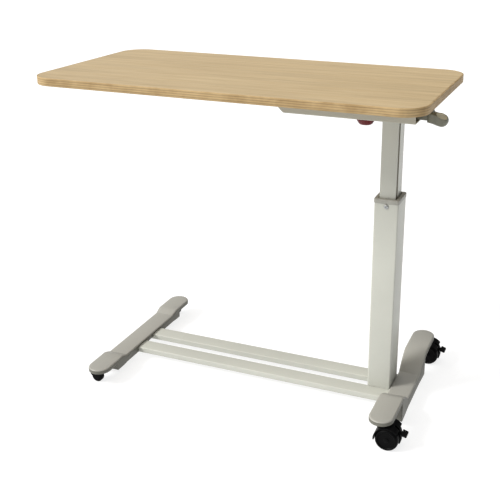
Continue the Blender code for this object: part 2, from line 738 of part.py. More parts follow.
def make_pedal(name, centre, wheel_x, materials, swivel):
    """The brake pedal, pressed down, on a pin through the housing's two ears."""
    y = centre[1]
    x, z = pedal_pivot(wheel_x)
    pivot = add_pivot(f"pedal_pivot_{name}", (x, y, z), swivel)
    arm = arc((x, z), 0.0034, 75, 285, 8)
    arm += [(x + 0.0115, z - 0.0030), (x + 0.0115, z + 0.0030)]
    bm = prism(arm, "y", y - 0.0022, y + 0.0022)
    pedal = add_object(f"pedal_{name}", bm, materials["caster"], pivot)
    plate = [(x + 0.0100, z + 0.0036), (x + 0.0100, z - 0.0016), (x + 0.0180, z - 0.0042)]
    plate += [(x + 0.0204, z - 0.0032), (x + 0.0200, z + 0.0004)]
    join(pedal, prism(plate, "y", y - 0.0090, y + 0.0090))
    cut(pedal, cylinder("y", (x, z), 0.0014, y - 0.01, y + 0.01, 12))
    bm = cylinder("y", (x, z), 0.0011, y - 0.0042, y + 0.0042, 12)
    add_object(f"pedal_pin_{name}", bm, materials["steel"], swivel)


def make_twin_wheel(name, side, centre, wheel_x, materials, swivel):
    width = TWIN_WHEEL_WIDTH
    profile = [
        (0, width - 0.0012),
        (0.0060, width - 0.0012),
        (0.0075, width - 0.0022),
        (0.0178, width - 0.0022),
        (0.0192, width - 0.0002),
        (0.0211, width - 0.0008),
        (0.0228, width - 0.0030),
        (TWIN_RADIUS, width - 0.0060),
        (TWIN_RADIUS, 0.0015),
        (0.0225, 0),
        (AXLE_RADIUS + GAP, 0),
        (AXLE_RADIUS + GAP, width - 0.0040),
        (0, width - 0.0040),
    ]
    pivot = add_pivot(f"wheel_pivot_{name}", (wheel_x, centre[1], TWIN_RADIUS), swivel)
    place = (wheel_x, centre[1] + side * TWIN_INNER_FACE, TWIN_RADIUS)
    bm = turn(profile, place, "y", WHEEL_SIDES, flip=side)
    add_object(f"wheel_{name}", bm, materials["caster"], pivot)


def make_twin_caster(name, side, materials):
    centre = (RIGHT_FOOT["x"], FOOT_Y + side * CASTER_OFFSET)
    wheel_x = centre[0] + TWIN_TRAIL
    make_stem(name, centre, (0.0435, 0.0513, 0.0540), 0.0035, RIGHT_FOOT, materials)
    swivel = add_pivot(f"swivel_pivot_{name}", (*centre, 0.0510))
    make_twin_housing(name, centre, wheel_x, materials, swivel)
    half = TWIN_INNER_FACE + TWIN_WHEEL_WIDTH - 0.0045
    bm = cylinder("y", (wheel_x, TWIN_RADIUS), AXLE_RADIUS, centre[1] - half, centre[1] + half)
    add_object(f"axle_{name}", bm, materials["steel"], swivel)
    make_twin_wheel(f"{name}_a", -1, centre, wheel_x, materials, swivel)
    make_twin_wheel(f"{name}_b", 1, centre, wheel_x, materials, swivel)
    make_pedal(name, centre, wheel_x, materials, swivel)


def make_small_fork(name, centre, wheel_x, materials, swivel):
    y = centre[1]
    stem_x = centre[0]
    outline = [(stem_x + 0.0090, 0.0290), (stem_x + 0.0090, 0.0230)]
    outline += arc((wheel_x, SMALL_RADIUS), 0.0050, -25, -155, 6)
    outline += [(stem_x - 0.0205, 0.0190), (stem_x - 0.0190, 0.0270), (stem_x - 0.0165, 0.0290)]
    bm = prism(outline, "y", y - 0.0088, y + 0.0088)
    fork = add_object(f"fork_{name}", bm, materials["caster"], swivel)
    hub = (wheel_x, SMALL_RADIUS)
    cut(fork, cylinder("y", hub, SMALL_RADIUS + 0.001, y - 0.0068, y + 0.0068, WHEEL_SIDES))
    cut(fork, box((stem_x - 0.040, y - 0.0068, 0.0), (stem_x - 0.010, y + 0.0068, SMALL_RADIUS)))
    cut(fork, cylinder("z", centre, 0.0028 + GAP, 0.0240, 0.0330, 16))
    cut(fork, cylinder("y", hub, 0.0020 + GAP, y - 0.02, y + 0.02, 16))


def make_small_caster(name, side, materials):
    centre = (LEFT_FOOT["x"], FOOT_Y + side * CASTER_OFFSET)
    wheel_x = centre[0] - SMALL_TRAIL
    make_stem(name, centre, (0.0262, 0.0293, 0.0313), 0.0028, LEFT_FOOT, materials)
    swivel = add_pivot(f"swivel_pivot_{name}", (*centre, 0.0290))
    make_small_fork(name, centre, wheel_x, materials, swivel)
    bm = cylinder("y", (wheel_x, SMALL_RADIUS), 0.0020, centre[1] - 0.0086, centre[1] + 0.0086, 16)
    add_object(f"axle_{name}", bm, materials["steel"], swivel)
    pivot = add_pivot(f"wheel_pivot_{name}", (wheel_x, centre[1], SMALL_RADIUS), swivel)
    half = SMALL_WIDTH / 2
    outline = [(0.0023, -half), (0.0108, -half), (SMALL_RADIUS, 0.002 - half)]
    outline += [(SMALL_RADIUS, half - 0.002), (0.0108, half), (0.0023, half)]
    bm = turn(outline + outline[:1], (wheel_x, centre[1], SMALL_RADIUS), "y", WHEEL_SIDES)
    bmesh.ops.remove_doubles(bm, verts=bm.verts, dist=0.00001)
    add_object(f"wheel_{name}", bm, materials["caster"], pivot)


def main():
    clear_scene()
    materials = make_materials()
    make_base(materials)
    lift = make_lift(materials)
    make_lever(materials, lift)
    make_valve_pin(materials, lift)
    make_knob(materials, lift)
    for end, side in (("front", -1), ("rear", 1)):
        make_twin_caster(f"right_{end}", side, materials)
        make_small_caster(f"left_{end}", side, materials)


main()
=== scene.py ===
"""Looks for the overbed table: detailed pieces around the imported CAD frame, materials, light and camera."""

import json
import math

import bmesh
import bpy
from mathutils import Matrix, Vector


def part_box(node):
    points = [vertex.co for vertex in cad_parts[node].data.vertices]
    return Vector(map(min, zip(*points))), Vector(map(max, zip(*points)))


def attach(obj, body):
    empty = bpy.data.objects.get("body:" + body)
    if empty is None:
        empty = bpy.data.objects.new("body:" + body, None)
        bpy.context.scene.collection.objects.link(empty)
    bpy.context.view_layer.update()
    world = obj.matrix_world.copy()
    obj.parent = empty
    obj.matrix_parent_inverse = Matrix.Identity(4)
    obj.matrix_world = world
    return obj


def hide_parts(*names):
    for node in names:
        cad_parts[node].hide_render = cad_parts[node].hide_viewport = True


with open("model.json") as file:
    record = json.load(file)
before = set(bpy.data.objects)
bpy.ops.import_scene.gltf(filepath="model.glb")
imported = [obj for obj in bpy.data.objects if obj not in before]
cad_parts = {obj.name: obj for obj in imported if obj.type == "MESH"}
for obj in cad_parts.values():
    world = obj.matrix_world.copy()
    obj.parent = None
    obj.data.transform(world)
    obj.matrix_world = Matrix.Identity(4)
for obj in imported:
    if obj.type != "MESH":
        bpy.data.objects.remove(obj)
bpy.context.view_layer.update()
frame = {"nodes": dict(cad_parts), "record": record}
NODES = frame["nodes"]

# Sizes that the CAD boxes don't give, in metres
TOP_CORNER = 0.050
BAND, BAND_FILLET = 0.002, 0.0009
BRACKET_HALF, BRACKET_WALL, BRACKET_FLANGE = 0.030, 0.002, 0.016
BRACKET_CHAMFER = 0.019
GAS_ROD_HOLE, KNOB_STUD_HOLE, LEVER_PIN_HOLE, PANEL_SCREW_HOLE = 0.0090, 0.0034, 0.0033, 0.0026  # radii
TUBE_WALL, TUBE_CORNER = 0.0015, 0.0032
INNER_TUBE_CORNER, GROOVE_CORNER = 0.0012, 0.0004
GROOVE_DEPTH = 0.003
GROOVE_START, GROOVE_END = 0.0035, 0.0155  # behind the inner tube's front edge
COLLAR_CORNER, COLLAR_SLEEVE, COLLAR_FILLET = 0.0042, 0.0028, 0.0016
RAIL_WALL, RAIL_CORNER = 0.0012, 0.0026
SHEET = 0.002  # of the feet
FOOT_SHOULDER, FOOT_TAPER, FOOT_RIM, FOOT_FLAT_TOP = 0.0035, 0.0015, 0.0095, 0.033
END_WALL_INSET = 0.0012
# Along a foot from its middle: the end of the flat, the end of the rise, and the skirt; and the inner side
LEFT_PRESS = {"flat": 0.106, "rise_end": 0.126, "skirt": (-0.148, 0.139), "inner": 1}
RIGHT_PRESS = {"flat": 0.050, "rise_end": 0.104, "skirt": (-0.108, 0.094), "inner": -1}
WELD_RADIUS, COLUMN_WELD_RADIUS, WELD_RIPPLE = 0.0014, 0.0013, 0.0007
LEVER_PIVOT = (0.3325, 0.633)  # x, z
SCOOP_RADII, SCOOP_TILT = (0.0128, 0.0112, 0.0074), 32
KNOB_FLUTES, KNOB_FLUTE_DEPTH = 18, 0.0007
TWIN_RADIUS, TWIN_TRAIL = 0.0235, 0.016
HOOD_RADIUS, HOOD_SHEET, HOOD_HALF = 0.0270, 0.0022, 0.0215
WEB_RADIUS, WEB_HALF, WEB_SEAT = 0.0262, 0.0045, 0.008
PEDAL_PIVOT = (0.0170, 0.0350)  # from the wheels' axle along x, and above the floor
SMALL_RADIUS, SMALL_TRAIL = 0.0125, 0.007
FORK_HALF, FORK_GAP = 0.0088, 0.0068

# Light and camera
WHITE = (1.0, 1.0, 1.0)
FLOOR_GREYS = [(0.3, (0.30, 0.30, 0.30)), (0.7, (0.32, 0.32, 0.32))]
FLOOR_GLOW, BACKDROP_GLOW = 0.78, 1.0
BACKDROP_RADIUS, BACKDROP_HEIGHTS = 14.0, (-0.5, 9.0)
SKY_BRIGHT_WAY, SKY_DIM, SKY_STRENGTH = (-0.45, -0.20, 0.87), (0.06, 0.06, 0.06), 1.25
SUN_WAY, SUN_ENERGY, SUN_WIDTH = (0.64, 0.46, -0.61), 2.9, 18
CAMERA_PLACE = (0.6905, -1.5445, 0.9833)
CAMERA_AZIMUTH, CAMERA_ELEVATION, CAMERA_ROLL = 20.99, 20.47, 0.24
CAMERA_LENS, CAMERA_SHIFT = 60.26, (-0.0934, -0.0523)


# Node graphs


class Graph:
    """A short way to write a material's nodes."""

    def __init__(self, name):
        self.material = bpy.data.materials.new(name)
        self.material.use_nodes = True
        self.tree = self.material.node_tree
        self.shader = self.tree.nodes["Principled BSDF"]
        self.coordinates = self.add("ShaderNodeTexCoord").outputs["Object"]

    def add(self, kind, **settings):
        node = self.tree.nodes.new(kind)
        for key, value in settings.items():
            setattr(node, key, value)
        return node

    def feed(self, socket, value):
        if isinstance(value, bpy.types.NodeSocket):
            self.tree.links.new(value, socket)
        else:
            socket.default_value = value

    def set(self, **values):
        for key, value in values.items():
            self.feed(self.shader.inputs[key.replace("_", " ")], value)

    def scaled(self, scale):
        node = self.add("ShaderNodeMapping")
        self.feed(node.inputs["Vector"], self.coordinates)
        node.inputs["Scale"].default_value = scale
        return node.outputs["Vector"]

    def noise(self, scale, detail=3.0, roughness=0.5, vector=None, distortion=0.0):
        node = self.add("ShaderNodeTexNoise")
        self.feed(node.inputs["Vector"], vector or self.coordinates)
        node.inputs["Scale"].default_value = scale
        node.inputs["Detail"].default_value = detail
        node.inputs["Roughness"].default_value = roughness
        node.inputs["Distortion"].default_value = distortion
        return node.outputs["Fac"]

    def ramp(self, factor, stops):
        node = self.add("ShaderNodeValToRGB")
        elements = node.color_ramp.elements
        while len(elements) < len(stops):
            elements.new(0.5)
        for element, (position, colour) in zip(elements, stops):
            element.position = position
            element.color = (*colour, 1.0)
        self.feed(node.inputs["Fac"], factor)
        return node.outputs["Color"]

    def span(self, value, low, high, to_low, to_high):
        """Maps the range from low to high onto the one from to_low to to_high."""
        node = self.add("ShaderNodeMapRange")
        self.feed(node.inputs["Value"], value)
        limits = {"From Min": low, "From Max": high, "To Min": to_low, "To Max": to_high}
        for socket, number in limits.items():
            node.inputs[socket].default_value = number
        return node.outputs["Result"]

    def mix(self, factor, first, second, blend="MIX"):
        node = self.add("ShaderNodeMix", data_type="RGBA", blend_type=blend)
        self.feed(node.inputs["Factor"], factor)
        for name, colour in (("A", first), ("B", second)):
            linked = isinstance(colour, bpy.types.NodeSocket)
            self.feed(node.inputs[name], colour if linked else (*colour, 1.0))
        return node.outputs["Result"]

    def sum(self, first, second):
        node = self.add("ShaderNodeMath", operation="ADD")
        self.feed(node.inputs[0], first)
        self.feed(node.inputs[1], second)
        return node.outputs["Value"]

    def axis(self, name):
        node = self.add("ShaderNodeSeparateXYZ")
        self.feed(node.inputs["Vector"], self.coordinates)
        return node.outputs[name]

    def bump(self, height, strength, distance):
        node = self.add("ShaderNodeBump")
        node.inputs["Strength"].default_value = strength
        node.inputs["Distance"].default_value = distance
        self.feed(node.inputs["Height"], height)
        self.set(Normal=node.outputs["Normal"])


def shade(colour, factor):
    return tuple(min(channel * factor, 1.0) for channel in colour)


def laminate(name, colour):
    """Pale oak laminate: long streaks along X, short dark pores, satin."""
    graph = Graph(name)
    wander = graph.noise(2.2, 2.0, vector=graph.scaled((1.0, 3.0, 3.0)))
    bands = graph.noise(11.0, 5.0, 0.6, graph.scaled((0.35, 6.5, 6.5)), 0.35)
    streaks = graph.noise(60.0, 6.0, 0.65, graph.scaled((0.16, 7.0, 7.0)))
    pores = graph.noise(170.0, 2.0, 0.5, graph.scaled((0.22, 8.0, 8.0)))
    base = graph.ramp(bands, [(0.30, shade(colour, 0.86)), (0.50, colour), (0.70, shade(colour, 1.09))])
    fine = graph.ramp(streaks, [(0.32, (0.84, 0.80, 0.74)), (0.55, WHITE), (0.75, (1.05, 1.04, 1.02))])
    tone = graph.ramp(wander, [(0.35, (0.96, 0.95, 0.93)), (0.65, (1.03, 1.03, 1.03))])
    flecks = graph.ramp(pores, [(0.26, (0.70, 0.62, 0.50)), (0.36, WHITE)])
    mixed = graph.mix(1.0, graph.mix(1.0, base, fine, "MULTIPLY"), tone, "MULTIPLY")
    graph.set(Base_Color=graph.mix(0.75, mixed, flecks, "MULTIPLY"))
    graph.set(Roughness=graph.span(streaks, 0.3, 0.7, 0.52, 0.40), Specular_IOR_Level=0.4)
    graph.bump(graph.sum(streaks, pores), 0.12, 0.0004)
    return graph.material


def edge_band(name, colour, low, high):
    """A wood-look edge band, with darker lines along it like the plies of a board."""
    graph = Graph(name)
    height = graph.span(graph.axis("Z"), low, high, 0.0, 1.0)
    wobble = graph.span(graph.noise(25.0, 2.0), 0.0, 1.0, -0.03, 0.03)
    dark, light = shade(colour, 0.62), shade(colour, 1.12)
    stops = [(0.0, shade(colour, 0.9)), (0.17, colour), (0.23, dark), (0.30, colour), (0.44, light)]
    stops += [(0.50, dark), (0.57, colour), (0.70, light), (0.77, dark), (0.84, colour), (1.0, light)]
    plies = graph.ramp(graph.sum(height, wobble), stops)
    grain = graph.noise(60.0, 5.0, 0.6, graph.scaled((0.25, 0.25, 14.0)))
    tint = graph.ramp(grain, [(0.35, (0.84, 0.81, 0.76)), (0.65, (1.06, 1.05, 1.04))])
    blotches = graph.noise(22.0, 3.0, 0.6)
    patches = graph.ramp(blotches, [(0.36, (0.80, 0.76, 0.70)), (0.58, (1.04, 1.04, 1.04))])
    grained = graph.mix(1.0, plies, tint, "MULTIPLY")
    graph.set(Base_Color=graph.mix(1.0, grained, patches, "MULTIPLY"))
    graph.set(Roughness=graph.span(grain, 0.3, 0.7, 0.60, 0.48), Specular_IOR_Level=0.2)
    graph.bump(grain, 0.10, 0.0003)
    return graph.material


def powder_coat(name, colour, roughness, grain=1400.0, dust=0.04):
    """Powder coat: a fine orange peel, faint clouding, a little dust low down."""
    graph = Graph(name)
    cloud = graph.noise(9.0, 4.0, 0.6)
    peel = graph.noise(grain, 2.0, 0.55)
    speck = graph.noise(420.0, 2.0, 0.5)
    base = graph.ramp(cloud, [(0.3, shade(colour, 0.97)), (0.7, shade(colour, 1.03))])
    marks = graph.ramp(speck, [(0.22, (0.88, 0.87, 0.84)), (0.30, WHITE)])
    low = graph.span(graph.axis("Z"), 0.0, 0.10, dust, 0.0)
    dusty = graph.mix(low, graph.mix(0.6, base, marks, "MULTIPLY"), (0.36, 0.34, 0.30))
    graph.set(Base_Color=dusty)
    graph.set(Roughness=graph.span(cloud, 0.3, 0.7, roughness - 0.05, roughness + 0.06))
    graph.bump(peel, 0.10, 0.0002)
    return graph.material


def moulded(name, colour, roughness, strength=0.16, scuffs=0.10, shine=0.5):
    """Moulded plastic: spark-eroded grain, handling marks in the sheen, a few pale scuffs."""
    graph = Graph(name)
    rub = graph.noise(34.0, 5.0, 0.65)
    texture = graph.noise(900.0, 2.0, 0.6)
    base = graph.ramp(rub, [(0.35, shade(colour, 0.88)), (0.68, shade(colour, 1.14))])
    scuff = graph.noise(140.0, 4.0, 0.7, graph.scaled((1.0, 0.25, 1.0)))
    scuffed = graph.mix(graph.span(scuff, 0.66, 0.78, 0.0, scuffs), base, (0.42, 0.41, 0.39))
    graph.set(Base_Color=scuffed)
    graph.set(Roughness=graph.span(rub, 0.3, 0.7, roughness - 0.08, roughness + 0.08))
    graph.shader.inputs["Specular IOR Level"].default_value = shine
    graph.bump(texture, strength, 0.0002)
    return graph.material


def metal(name, colour, roughness):
    """Plated steel, with a fine grain and a slightly uneven plating."""
    graph = Graph(name)
    grain = graph.noise(300.0, 4.0, 0.6)
    cloud = graph.noise(60.0, 3.0, 0.6)
    graph.set(Base_Color=graph.ramp(cloud, [(0.3, shade(colour, 0.86)), (0.7, shade(colour, 1.08))]))
    graph.shader.inputs["Metallic"].default_value = 1.0
    graph.set(Roughness=graph.span(grain, 0.3, 0.7, roughness * 0.75, roughness * 1.3))
    graph.bump(grain, 0.06, 0.0001)
    return graph.material


def make_materials():
    band_low, band_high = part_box("edge_band")[0][2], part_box("edge_band")[1][2]
    return {
        "oak_laminate": laminate("oak_laminate", (0.500, 0.380, 0.214)),
        "edge_band_plastic": edge_band("edge_band_plastic", (0.440, 0.318, 0.165), band_low, band_high),
        "light_grey_paint": powder_coat("light_grey_paint", (0.470, 0.475, 0.424), 0.38),
        "mid_grey_paint": powder_coat("mid_grey_paint", (0.325, 0.318, 0.285), 0.44, 1000.0),
        "grey_plastic": moulded("grey_plastic", (0.315, 0.310, 0.275), 0.50),
        "zinc_steel": metal("zinc_steel", (0.40, 0.41, 0.41), 0.38),
        "chrome_steel": metal("chrome_steel", (0.80, 0.80, 0.80), 0.14),
        "black_paint": powder_coat("black_paint", (0.030, 0.030, 0.031), 0.35, dust=0.0),
        "red_plastic": moulded("red_plastic", (0.115, 0.006, 0.009), 0.42, strength=0.06, shine=0.3),
        "dark_grey_plastic": moulded("dark_grey_plastic", (0.150, 0.148, 0.112), 0.46),
        "black_plastic": moulded("black_plastic", (0.0030, 0.0030, 0.0032), 0.42, scuffs=0.005, shine=0.05),
    }


# Mesh helpers


def arc(centre, radius, start, end, steps):
    """Points from start to end degrees, both included."""
    points = []
    for i in range(steps + 1):
        angle = math.radians(start + (end - start) * i / steps)
        points.append((centre[0] + radius * math.cos(angle), centre[1] + radius * math.sin(angle)))
    return points


def circle(centre, radius, sides):
    """The corners of a regular polygon, the first on the +u side."""
    return arc(centre, radius, 0, 360 - 360 / sides, sides - 1)


def rounded_rectangle(centre, width, depth, radius, steps=6):
    points = []
    for i, (sx, sy) in enumerate(((1, 1), (-1, 1), (-1, -1), (1, -1))):
        corner = (centre[0] + sx * (width / 2 - radius), centre[1] + sy * (depth / 2 - radius))
        points += arc(corner, radius, 90 * i, 90 * i + 90, steps)
    return points


def place_point(axis, u, v, w):
    """The point at height w on the axis, and at (u, v) on the other two in their order."""
    return {"x": (w, u, v), "y": (u, w, v), "z": (u, v, w)}[axis]


def rings_mesh(rings, closed=False, caps=True):
    """Quads between rings of equal length; closed joins the last ring to the first, caps fill the ends."""
    bm = bmesh.new()
    loops = [[bm.verts.new(point) for point in ring] for ring in rings]
    pairs = list(zip(loops, loops[1:]))
    if closed:
        pairs.append((loops[-1], loops[0]))
    count = len(loops[0])
    for first, second in pairs:
        for i in range(count):
            j = (i + 1) % count
            bm.faces.new((first[i], first[j], second[j], second[i]))
    if caps and not closed:
        bm.faces.new(loops[0])
        bm.faces.new(loops[-1])
    return bm


def prism(outline, axis, low, high):
    return rings_mesh([[place_point(axis, u, v, w) for u, v in outline] for w in (low, high)])


def block(low, high):
    outline = [(low[0], low[1]), (high[0], low[1]), (high[0], high[1]), (low[0], high[1])]
    return prism(outline, "z", low[2], high[2])


def tube_rings(outline, axis, profile):
    """A hollow section: outline(inset) gives an outline, profile lists (inset, height) round the wall."""
    rings = [[place_point(axis, u, v, w) for u, v in outline(inset)] for inset, w in profile]
    return rings_mesh(rings, closed=True)


def turned(profile, centre, axis, sides, flip=1):
    """A solid turned round the y or z axis, from a (radius, height) profile; flip=-1 turns it upside down."""
    bm = bmesh.new()
    rings = []
    for radius, height in profile:
        if radius == 0:
            rings.append([bm.verts.new((0, 0, height * flip))])
        else:
            rings.append([bm.verts.new((u, v, height * flip)) for u, v in circle((0, 0), radius, sides)])
    for first, second in zip(rings, rings[1:]):
        for i in range(sides):
            j = (i + 1) % sides
            corners = [first[i % len(first)], first[j % len(first)]]
            corners += [second[j % len(second)], second[i % len(second)]]
            bm.faces.new(list(dict.fromkeys(corners)))
    if axis == "y":
        bmesh.ops.rotate(bm, verts=bm.verts, matrix=Matrix.Rotation(math.radians(-90), 3, "X"))
    bmesh.ops.translate(bm, verts=bm.verts, vec=centre)
    return bm


def make_object(name, bm, material=None, angle=30):
    """An object from a bmesh, smooth but for the edges sharper than the angle in degrees."""
    bmesh.ops.recalc_face_normals(bm, faces=bm.faces)
    mesh = bpy.data.meshes.new(name)
    bm.to_mesh(mesh)
    bm.free()
    mesh.shade_smooth()
    mesh.set_sharp_from_angle(angle=math.radians(angle))
    obj = bpy.data.objects.new(name, mesh)
    bpy.context.scene.collection.objects.link(obj)
    if material:
        mesh.materials.append(material)
    return obj


def apply_modifiers(obj):
    """Replaces the mesh by the evaluated one and drops the modifiers."""
    graph = bpy.context.evaluated_depsgraph_get()
    mesh = bpy.data.meshes.new_from_object(obj.evaluated_get(graph))
    obj.modifiers.clear()
    obj.data = mesh


def boolean(obj, shapes, operation="DIFFERENCE"):
    """Cuts shapes from an object or joins them on, and applies the result."""
    for bm in shapes:
        tool = make_object(f"{obj.name}_tool", bm)
        modifier = obj.modifiers.new("boolean", "BOOLEAN")
        modifier.operation = operation
        modifier.solver = "EXACT"
        modifier.object = tool
        apply_modifiers(obj)
        bpy.data.objects.remove(tool)


def soften(obj, width, segments=2, angle=35):
    """Rounds every edge sharper than the angle, and leaves the flats flat."""
    modifier = obj.modifiers.new("soft_edges", "BEVEL")
    modifier.width = width
    modifier.segments = segments
    modifier.limit_method = "ANGLE"
    modifier.angle_limit = math.radians(angle)
    modifier.harden_normals = True
    modifier.use_clamp_overlap = True


def place(obj, body, slot, nodes=()):
    """Gives a piece its body and its finish, and hides the CAD nodes that it stands for."""
    if not obj.data.materials:
        obj.data.materials.append(MATERIALS[slot])
    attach(obj, body)
    if nodes:
        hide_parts(*nodes)


MATERIALS = make_materials()
# Painted shade: a much darker copy of the feet's paint, standing for the shade on their upright faces
FOOT_SIDE_PAINTED_SHADE = powder_coat("mid_grey_paint_side_painted_shade", (0.118, 0.116, 0.095), 0.50, 1000.0)
# Painted light: a much paler copy of the grip's plastic for the inside of its scoop, standing for the light
# falling into it
SCOOP_PAINTED_LIGHT = moulded("dark_grey_plastic_scoop_painted_light", (0.620, 0.595, 0.470), 0.40)
# Painted shade: a darker, warmer copy of the light grey paint, standing for the shade under the top and the
# warm light the wood throws back
BRACKET_PAINTED_SHADE = powder_coat("light_grey_paint_bracket_painted_shade", (0.395, 0.380, 0.315), 0.40)
# Painted shade: a dark copy of the light grey paint for the inside of the inner tube's grooves, standing for
# the shade in the recess
GROOVE_PAINTED_SHADE = powder_coat("light_grey_paint_groove_painted_shade", (0.235, 0.220, 0.180), 0.55)


def dress_frame():
    """Every CAD node gets its slot's material; some are then replaced by detailed pieces."""
    for entry in frame["record"]["subparts"]:
        mesh = NODES[entry["node"]].data
        mesh.materials.clear()
        mesh.materials.append(MATERIALS[entry["material_slot"]])


# Top


def centre_of(low, high):
    return ((low[0] + high[0]) / 2, (low[1] + high[1]) / 2)


def make_top():
    low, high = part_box("edge_band")
    centre, width, depth = centre_of(low, high), high[0] - low[0], high[1] - low[1]

    def outline(inset):
        return rounded_rectangle(centre, width - 2 * inset, depth - 2 * inset, TOP_CORNER - inset, 28)

    # The wall's corners, with each one's sides towards the wall's middle and the turn of its fillet
    corners = ((1, 1, (270, 180)), (1, -1, (180, 90)), (-1, -1, (90, 0)), (-1, 1, (0, -90)))
    profile = []
    for sx, sz, turn in corners:
        u = BAND_FILLET if sx > 0 else BAND - BAND_FILLET
        z = low[2] + BAND_FILLET if sz > 0 else high[2] - BAND_FILLET
        radius = BAND_FILLET if sx > 0 else BAND_FILLET / 3
        shift = 0 if sx > 0 else BAND_FILLET - radius
        profile += arc((u + shift, z + (shift if sz < 0 else -shift)), radius, *turn, 4)
    band = make_object("top_edge_band", tube_rings(outline, "z", profile))
    place(band, "lift", "edge_band_plastic", ["edge_band"])

    panel_low, panel_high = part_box("tabletop_panel")
    inset = panel_low[0] - low[0]
    board = make_object("top_board", prism(outline(inset), "z", panel_low[2], panel_high[2]))
    soften(board, 0.0003)
    place(board, "lift", "oak_laminate", ["tabletop_panel"])


def make_bracket():
    """The folded channel, with rounded folds, screw flanges, a cut corner and the holes through it."""
    low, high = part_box("bracket_channel")
    middle = (low[1] + high[1]) / 2
    half, edge = BRACKET_HALF, BRACKET_HALF + BRACKET_FLANGE
    outer_fold, inner_fold = 0.0030, 0.0010
    outline = arc((half - outer_fold, low[2] + outer_fold), outer_fold, -90, 0, 5)
    outline += arc((half + inner_fold, high[2] - BRACKET_WALL - inner_fold), inner_fold, 180, 90, 4)
    outline += [(edge, high[2] - BRACKET_WALL), (edge, high[2])]
    outline += arc((half + inner_fold, high[2] - outer_fold), outer_fold, 90, 180, 5)
    outline += arc((half - outer_fold, low[2] + outer_fold), inner_fold, 0, -90, 4)
    section = [(middle + v, z) for v, z in outline] + [(middle - v, z) for v, z in outline[::-1]]
    obj = make_object("bracket", prism(section, "x", low[0], high[0]))
    past = 0.01  # how far the cuts reach past the sheet
    corner = [
        (low[0] - past, low[2] - past),
        (low[0] + BRACKET_CHAMFER + past, low[2] - past),
        (low[0] - past, low[2] + BRACKET_CHAMFER + past),
    ]
    sides = (middle - 0.1, middle + 0.1)
    cuts = [prism(corner, "y", *sides)]
    for node, radius in (("gas_rod", GAS_ROD_HOLE), ("knob_stud", KNOB_STUD_HOLE)):
        hole = circle(centre_of(*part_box(node)), radius, 40)
        cuts.append(prism(hole, "z", low[2] - past, low[2] + past))
    pin_low, pin_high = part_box("lever_pin")
    pin = ((pin_low[0] + pin_high[0]) / 2, (pin_low[2] + pin_high[2]) / 2)
    cuts.append(prism(circle(pin, LEVER_PIN_HOLE, 32), "y", *sides))
    for number in range(1, 5):
        hole = circle(centre_of(*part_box(f"panel_screw_{number}")), PANEL_SCREW_HOLE, 24)
        cuts.append(prism(hole, "z", high[2] - 0.006, high[2] + 0.006))
    boolean(obj, cuts)
    soften(obj, 0.0004)
    # Painted shade: the whole bracket takes the darker, warmer copy of the paint
    obj.data.materials.append(BRACKET_PAINTED_SHADE)
    place(obj, "lift", "light_grey_paint", ["bracket_channel"])


# Column


def make_outer_tube():
    low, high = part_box("outer_column")
    centre, width, depth = centre_of(low, high), high[0] - low[0], high[1] - low[1]

    def outline(inset):
        return rounded_rectangle(centre, width - 2 * inset, depth - 2 * inset, TUBE_CORNER - inset)

    edge = 0.0003
    profile = [(0, low[2] + edge), (0, high[2] - edge), (edge, high[2]), (TUBE_WALL, high[2])]
    profile += [(TUBE_WALL, low[2]), (edge, low[2])]
    obj = make_object("outer_tube", tube_rings(outline, "z", profile))
    place(obj, "base", "light_grey_paint", ["outer_column"])


def make_collar():
    """The plastic bush: a sleeve inside the outer tube, and a lip with a rounded edge on its top."""
    low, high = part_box("column_collar")
    tube_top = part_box("outer_column")[1][2]
    centre, width, depth = centre_of(low, high), high[0] - low[0], high[1] - low[1]
    inner_low, inner_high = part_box("inner_column")
    bore_x, bore_y = inner_high[0] - inner_low[0] + 0.004, inner_high[1] - inner_low[1] + 0.002

    def ring(inset, z):
        corner = COLLAR_CORNER - inset * 0.5
        outline = rounded_rectangle(centre, width - 2 * inset, depth - 2 * inset, corner)
        return [(x, y, z) for x, y in outline]

    def bore(grow, z):
        return [(x, y, z) for x, y in rounded_rectangle(centre, bore_x + grow, bore_y + grow, 0.0015)]

    rings = [ring(COLLAR_SLEEVE, low[2]), ring(COLLAR_SLEEVE, tube_top + 0.0002)]
    rings += [ring(0.0002, tube_top + 0.0003), ring(0, tube_top + 0.0007)]
    for a in (0, 0.4, 0.8, 1.2, 1.5708):
        inset, rise = COLLAR_FILLET - COLLAR_FILLET * math.cos(a), COLLAR_FILLET * math.sin(a)
        rings.append(ring(inset, high[2] - COLLAR_FILLET + rise))
    rings += [bore(0.0016, high[2]), bore(0.0004, high[2] - 0.0005)]
    rings += [bore(0, high[2] - 0.0012), bore(0, low[2])]
    obj = make_object("collar", rings_mesh(rings, closed=True))
    place(obj, "base", "grey_plastic", ["column_collar"])


def make_collar_screw():
    """A button head with a round socket, and a plain shank."""
    low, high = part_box("collar_screw")
    x, z = (low[0] + high[0]) / 2, (low[2] + high[2]) / 2
    seat = low[1] + 0.0028
    profile = [(0, 0.0012), (0.0013, 0.0012), (0.0016, 0.0027), (0.0026, 0.0026), (0.0037, 0.0021)]
    profile += [(0.0045, 0.0013), (0.0049, 0.0005), (0.0049, 0.0)]
    profile += [(0.0022, 0.0), (0.0022, -0.0050), (0, -0.0050)]
    obj = make_object("collar_button_screw", turned(profile, (x, seat, z), "y", 36, flip=-1))
    place(obj, "base", "zinc_steel", ["collar_screw"])


